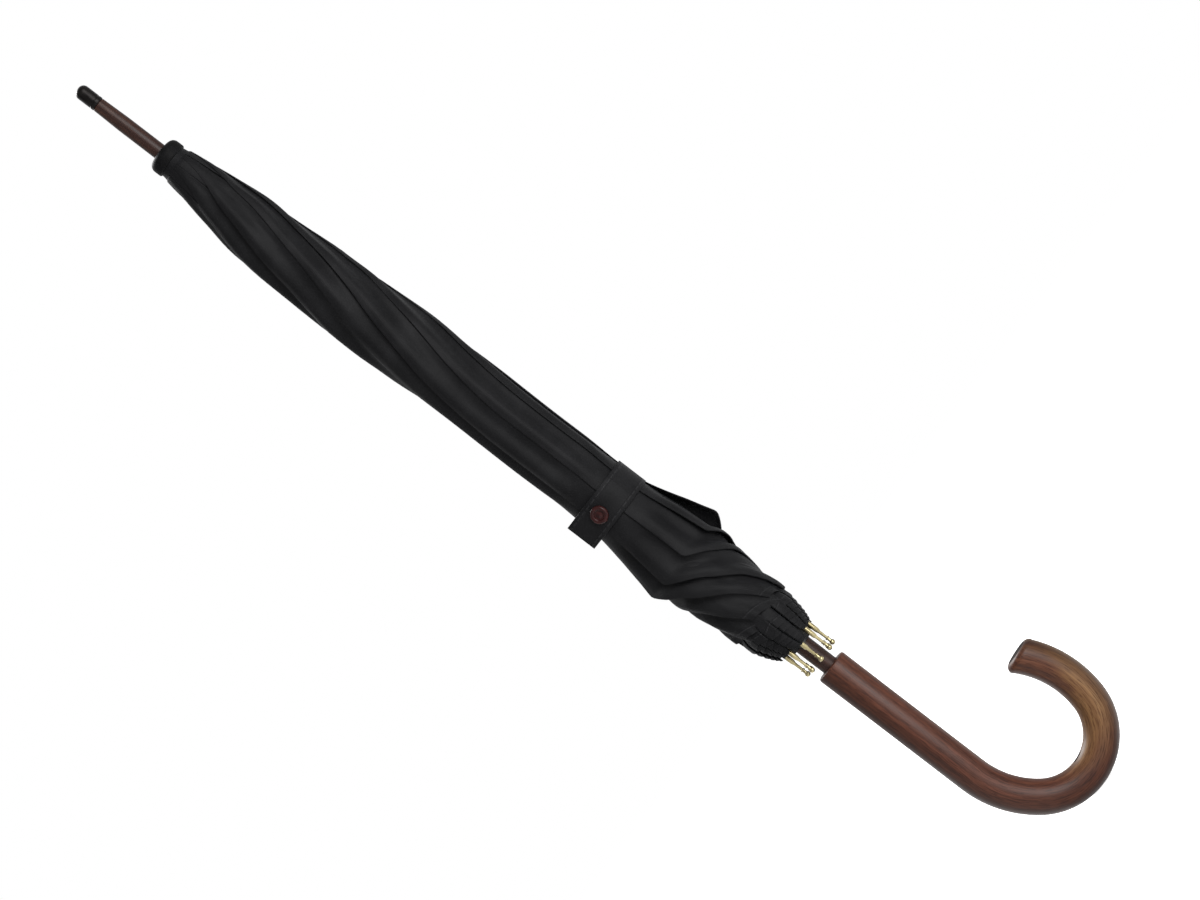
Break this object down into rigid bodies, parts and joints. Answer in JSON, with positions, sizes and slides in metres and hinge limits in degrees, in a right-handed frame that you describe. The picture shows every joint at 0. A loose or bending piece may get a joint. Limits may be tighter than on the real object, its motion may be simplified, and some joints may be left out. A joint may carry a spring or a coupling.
{
  "type": "stick umbrella",
  "caption": "Closed stick umbrella with a wooden crook handle: a runner on the shaft opens hinged ribs, stretchers and black cloth gores, furled and held by a snap strap.",
  "frame": {"origin": "on the stick's axis, in the middle of the hand grip, 72.8 mm below the handle's top", "axes": "+Z along the stick towards its tip, +X towards the arm of the crook, +Y to the back"},
  "size_m": [0.1479, 0.0774, 0.8754],
  "materials": {
    "stained_wood": "stained and waxed",
    "shaft_wood": "stained, satin",
    "dark_metal": "gunmetal, satin",
    "black_steel": "black japanned steel",
    "black_enamel": "black enamel",
    "brass": "pale polished brass",
    "black_cloth": "plain woven, matt",
    "snap_lacquer": "dark red lacquer"
  },
  "bodies": {
    "stick": {"shaft": "shaft_wood", "handle": "stained_wood", "ferrule_tip": "dark_metal", "cap_ring": "black_cloth", "top_notch": "black_enamel", "notch_wire": "black_steel", "stop_pin": "black_steel", "bottom_catch_pin": "black_steel", "top_catch_pin": "black_steel"},
    "runner": {"runner": "black_enamel", "runner_wire": "black_steel"},
    "bottom_catch": {"bottom_catch": "black_steel"},
    "top_catch": {"top_catch": "black_steel"},
    "rib_1": {"rib_1": "black_steel", "rib_tip_1": "brass", "rivet_1": "black_steel"},
    "stretcher_1": {"stretcher_1": "black_steel"},
    "gore_1": {"gore_1": "black_cloth"},
    "rib_2": {"rib_2": "black_steel", "rib_tip_2": "brass", "rivet_2": "black_steel"},
    "stretcher_2": {"stretcher_2": "black_steel"},
    "gore_2": {"gore_2": "black_cloth"},
    "rib_3": {"rib_3": "black_steel", "rib_tip_3": "brass", "rivet_3": "black_steel"},
    "stretcher_3": {"stretcher_3": "black_steel"},
    "gore_3": {"gore_3": "black_cloth"},
    "rib_4": {"rib_4": "black_steel", "rib_tip_4": "brass", "rivet_4": "black_steel"},
    "stretcher_4": {"stretcher_4": "black_steel"},
    "gore_4": {"gore_4": "black_cloth"},
    "rib_5": {"rib_5": "black_steel", "rib_tip_5": "brass", "rivet_5": "black_steel"},
    "stretcher_5": {"stretcher_5": "black_steel"},
    "gore_5": {"gore_5": "black_cloth"},
    "rib_6": {"rib_6": "black_steel", "rib_tip_6": "brass", "rivet_6": "black_steel"},
    "stretcher_6": {"stretcher_6": "black_steel"},
    "gore_6": {"gore_6": "black_cloth"},
    "rib_7": {"rib_7": "black_steel", "rib_tip_7": "brass", "rivet_7": "black_steel", "tie_band": "black_cloth"},
    "stretcher_7": {"stretcher_7": "black_steel"},
    "gore_7": {"gore_7": "black_cloth"},
    "rib_8": {"rib_8": "black_steel", "rib_tip_8": "brass", "rivet_8": "black_steel"},
    "stretcher_8": {"stretcher_8": "black_steel"},
    "gore_8": {"gore_8": "black_cloth"},
    "tie_tab": {"tie_tab": "black_cloth", "snap_cap": "snap_lacquer"}
  },
  "joints": [
    {"name": "runner_slide", "type": "slide", "parent": "stick", "child": "runner", "axis": [0, 0, 1], "range_m": [0, 0.29078]},
    {"name": "rib_hinge_1", "type": "hinge", "parent": "stick", "child": "rib_1", "pos_m": [0.0104, 0, 0.6578], "axis": [0, -1, 0], "range_deg": [0, 64.02]},
    {"name": "stretcher_hinge_1", "type": "hinge", "parent": "rib_1", "child": "stretcher_1", "pos_m": [0.01251, 0, 0.4023], "axis": [0, 1, 0], "range_deg": [0, 128.02]},
    {"name": "gore_spread_1", "type": "hinge", "parent": "rib_1", "child": "gore_1", "pos_m": [0.00584, 0, 0.66715], "axis": [-0.8988, 0, -0.4384], "range_deg": [0, 45.02], "deforming": ["gore_1"]},
    {"name": "rib_hinge_2", "type": "hinge", "parent": "stick", "child": "rib_2", "pos_m": [0.00735, 0.00735, 0.6578], "axis": [0.7071, -0.7071, 0], "range_deg": [0, 64.02]},
    {"name": "stretcher_hinge_2", "type": "hinge", "parent": "rib_2", "child": "stretcher_2", "pos_m": [0.00885, 0.00885, 0.4023], "axis": [-0.7071, 0.7071, 0], "range_deg": [0, 128.02]},
    {"name": "gore_spread_2", "type": "hinge", "parent": "rib_2", "child": "gore_2", "pos_m": [0.00413, 0.00413, 0.66715], "axis": [-0.6355, -0.6355, -0.4384], "range_deg": [0, 45.02], "deforming": ["gore_2"]},
    {"name": "rib_hinge_3", "type": "hinge", "parent": "stick", "child": "rib_3", "pos_m": [0, 0.0104, 0.6578], "axis": [1, 0, 0], "range_deg": [0, 64.02]},
    {"name": "stretcher_hinge_3", "type": "hinge", "parent": "rib_3", "child": "stretcher_3", "pos_m": [0, 0.01251, 0.4023], "axis": [-1, 0, 0], "range_deg": [0, 128.02]},
    {"name": "gore_spread_3", "type": "hinge", "parent": "rib_3", "child": "gore_3", "pos_m": [0, 0.00584, 0.66715], "axis": [0, -0.8988, -0.4384], "range_deg": [0, 45.02], "deforming": ["gore_3"]},
    {"name": "rib_hinge_4", "type": "hinge", "parent": "stick", "child": "rib_4", "pos_m": [-0.00735, 0.00735, 0.6578], "axis": [0.7071, 0.7071, 0], "range_deg": [0, 64.02]},
    {"name": "stretcher_hinge_4", "type": "hinge", "parent": "rib_4", "child": "stretcher_4", "pos_m": [-0.00885, 0.00885, 0.4023], "axis": [-0.7071, -0.7071, 0], "range_deg": [0, 128.02]},
    {"name": "gore_spread_4", "type": "hinge", "parent": "rib_4", "child": "gore_4", "pos_m": [-0.00413, 0.00413, 0.66715], "axis": [0.6355, -0.6355, -0.4384], "range_deg": [0, 45.02], "deforming": ["gore_4"]},
    {"name": "rib_hinge_5", "type": "hinge", "parent": "stick", "child": "rib_5", "pos_m": [-0.0104, 0, 0.6578], "axis": [0, 1, 0], "range_deg": [0, 64.02]},
    {"name": "stretcher_hinge_5", "type": "hinge", "parent": "rib_5", "child": "stretcher_5", "pos_m": [-0.01251, 0, 0.4023], "axis": [0, -1, 0], "range_deg": [0, 128.02]},
    {"name": "gore_spread_5", "type": "hinge", "parent": "rib_5", "child": "gore_5", "pos_m": [-0.00584, 0, 0.66715], "axis": [0.8988, 0, -0.4384], "range_deg": [0, 45.02], "deforming": ["gore_5"]},
    {"name": "rib_hinge_6", "type": "hinge", "parent": "stick", "child": "rib_6", "pos_m": [-0.00735, -0.00735, 0.6578], "axis": [-0.7071, 0.7071, 0], "range_deg": [0, 64.02]},
    {"name": "stretcher_hinge_6", "type": "hinge", "parent": "rib_6", "child": "stretcher_6", "pos_m": [-0.00885, -0.00885, 0.4023], "axis": [0.7071, -0.7071, 0], "range_deg": [0, 128.02]},
    {"name": "gore_spread_6", "type": "hinge", "parent": "rib_6", "child": "gore_6", "pos_m": [-0.00413, -0.00413, 0.66715], "axis": [0.6355, 0.6355, -0.4384], "range_deg": [0, 45.02], "deforming": ["gore_6"]},
    {"name": "rib_hinge_7", "type": "hinge", "parent": "stick", "child": "rib_7", "pos_m": [0, -0.0104, 0.6578], "axis": [-1, 0, 0], "range_deg": [0, 64.02], "deforming": ["tie_band"]},
    {"name": "stretcher_hinge_7", "type": "hinge", "parent": "rib_7", "child": "stretcher_7", "pos_m": [0, -0.01251, 0.4023], "axis": [1, 0, 0], "range_deg": [0, 128.02]},
    {"name": "gore_spread_7", "type": "hinge", "parent": "rib_7", "child": "gore_7", "pos_m": [0, -0.00584, 0.66715], "axis": [0, 0.8988, -0.4384], "range_deg": [0, 45.02], "deforming": ["gore_7"]},
    {"name": "rib_hinge_8", "type": "hinge", "parent": "stick", "child": "rib_8", "pos_m": [0.00735, -0.00735, 0.6578], "axis": [-0.7071, -0.7071, 0], "range_deg": [0, 64.02]},
    {"name": "stretcher_hinge_8", "type": "hinge", "parent": "rib_8", "child": "stretcher_8", "pos_m": [0.00885, -0.00885, 0.4023], "axis": [0.7071, 0.7071, 0], "range_deg": [0, 128.02]},
    {"name": "gore_spread_8", "type": "hinge", "parent": "rib_8", "child": "gore_8", "pos_m": [0.00413, -0.00413, 0.66715], "axis": [-0.6355, 0.6355, -0.4384], "range_deg": [0, 45.02], "deforming": ["gore_8"]},
    {"name": "bottom_catch_press", "type": "hinge", "parent": "stick", "child": "bottom_catch", "pos_m": [0.0048, 0.00199, 0.1338], "axis": [-0.3827, 0.9239, 0], "range_deg": [0, 3.34], "stiffness_Nm_per_rad": 0.05, "springref_deg": -5.73},
    {"name": "top_catch_press", "type": "hinge", "parent": "stick", "child": "top_catch", "pos_m": [0.0048, 0.00199, 0.36428], "axis": [0.3827, -0.9239, 0], "range_deg": [0, 3.34], "stiffness_Nm_per_rad": 0.05, "springref_deg": -5.73},
    {"name": "tie_tab_lift", "type": "hinge", "parent": "rib_7", "child": "tie_tab", "pos_m": [0.01285, -0.02417, 0.2678], "axis": [0, 0, 1], "range_deg": [0, 70]}
  ],
  "couplings": [
    {"joint": "rib_hinge_1", "follows": "runner_slide", "rad_per_m": 3.8414},
    {"joint": "stretcher_hinge_1", "follows": "runner_slide", "rad_per_m": 7.6828},
    {"joint": "gore_spread_1", "follows": "runner_slide", "rad_per_m": 2.701},
    {"joint": "rib_hinge_2", "follows": "runner_slide", "rad_per_m": 3.8414},
    {"joint": "stretcher_hinge_2", "follows": "runner_slide", "rad_per_m": 7.6828},
    {"joint": "gore_spread_2", "follows": "runner_slide", "rad_per_m": 2.701},
    {"joint": "rib_hinge_3", "follows": "runner_slide", "rad_per_m": 3.8414},
    {"joint": "stretcher_hinge_3", "follows": "runner_slide", "rad_per_m": 7.6828},
    {"joint": "gore_spread_3", "follows": "runner_slide", "rad_per_m": 2.701},
    {"joint": "rib_hinge_4", "follows": "runner_slide", "rad_per_m": 3.8414},
    {"joint": "stretcher_hinge_4", "follows": "runner_slide", "rad_per_m": 7.6828},
    {"joint": "gore_spread_4", "follows": "runner_slide", "rad_per_m": 2.701},
    {"joint": "rib_hinge_5", "follows": "runner_slide", "rad_per_m": 3.8414},
    {"joint": "stretcher_hinge_5", "follows": "runner_slide", "rad_per_m": 7.6828},
    {"joint": "gore_spread_5", "follows": "runner_slide", "rad_per_m": 2.701},
    {"joint": "rib_hinge_6", "follows": "runner_slide", "rad_per_m": 3.8414},
    {"joint": "stretcher_hinge_6", "follows": "runner_slide", "rad_per_m": 7.6828},
    {"joint": "gore_spread_6", "follows": "runner_slide", "rad_per_m": 2.701},
    {"joint": "rib_hinge_7", "follows": "runner_slide", "rad_per_m": 3.8414},
    {"joint": "stretcher_hinge_7", "follows": "runner_slide", "rad_per_m": 7.6828},
    {"joint": "gore_spread_7", "follows": "runner_slide", "rad_per_m": 2.701},
    {"joint": "rib_hinge_8", "follows": "runner_slide", "rad_per_m": 3.8414},
    {"joint": "stretcher_hinge_8", "follows": "runner_slide", "rad_per_m": 7.6828},
    {"joint": "gore_spread_8", "follows": "runner_slide", "rad_per_m": 2.701}
  ]
}
